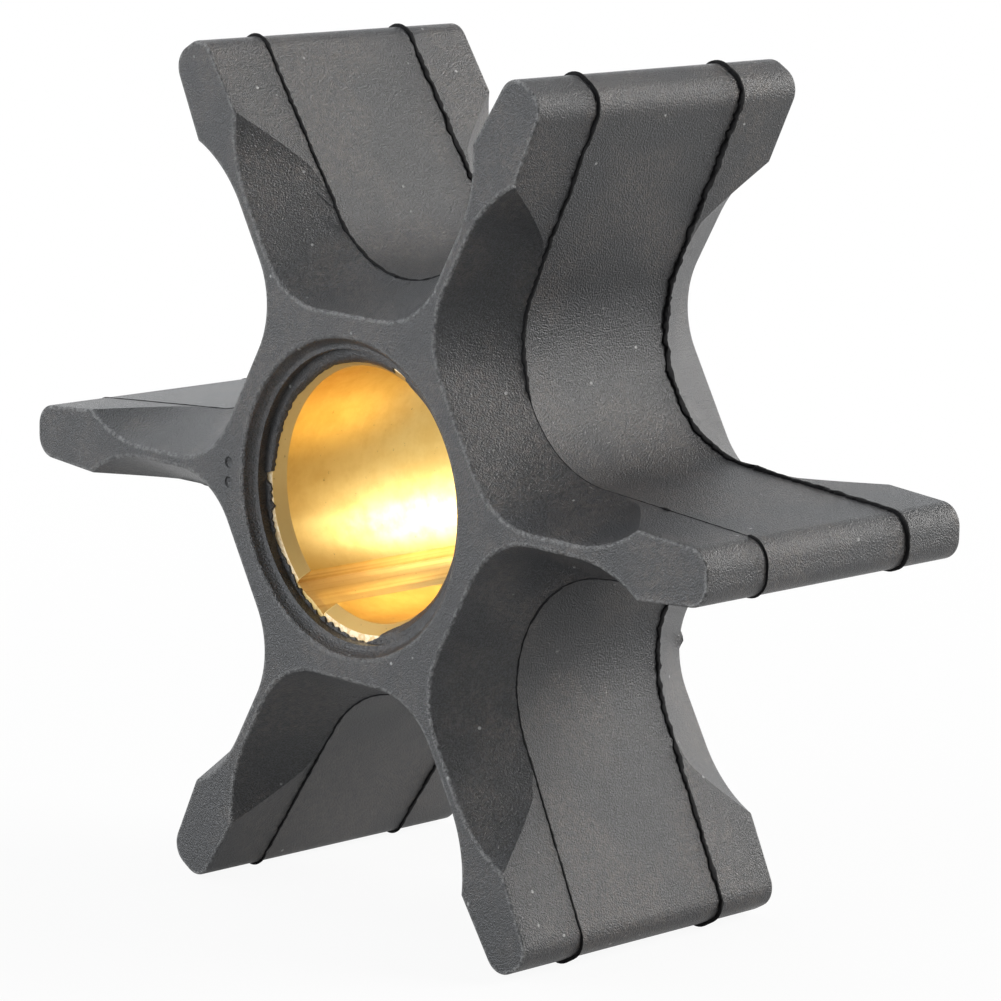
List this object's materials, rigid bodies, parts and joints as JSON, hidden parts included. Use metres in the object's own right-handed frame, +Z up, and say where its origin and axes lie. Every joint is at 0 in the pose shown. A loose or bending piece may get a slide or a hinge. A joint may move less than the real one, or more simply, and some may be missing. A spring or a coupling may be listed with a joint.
{
  "type": "pump impeller",
  "caption": "Flexible rubber pump impeller with flared vanes round a hub, deep pockets between them, raised parting seams and a keyed brass bush in the bore.",
  "frame": {"origin": "centre of the bore, half way along the width", "axes": "+Y along the bore axis from the front end to the back end, +Z up through the pocket between two vanes, +X along a vane"},
  "size_m": [0.0726, 0.0254, 0.0638],
  "materials": {
    "rubber": "matt black moulded rubber",
    "brass": "turned and polished brass"
  },
  "bodies": {
    "root": {"vane_body": "rubber", "brass_bush": "brass"}
  },
  "joints": []
}
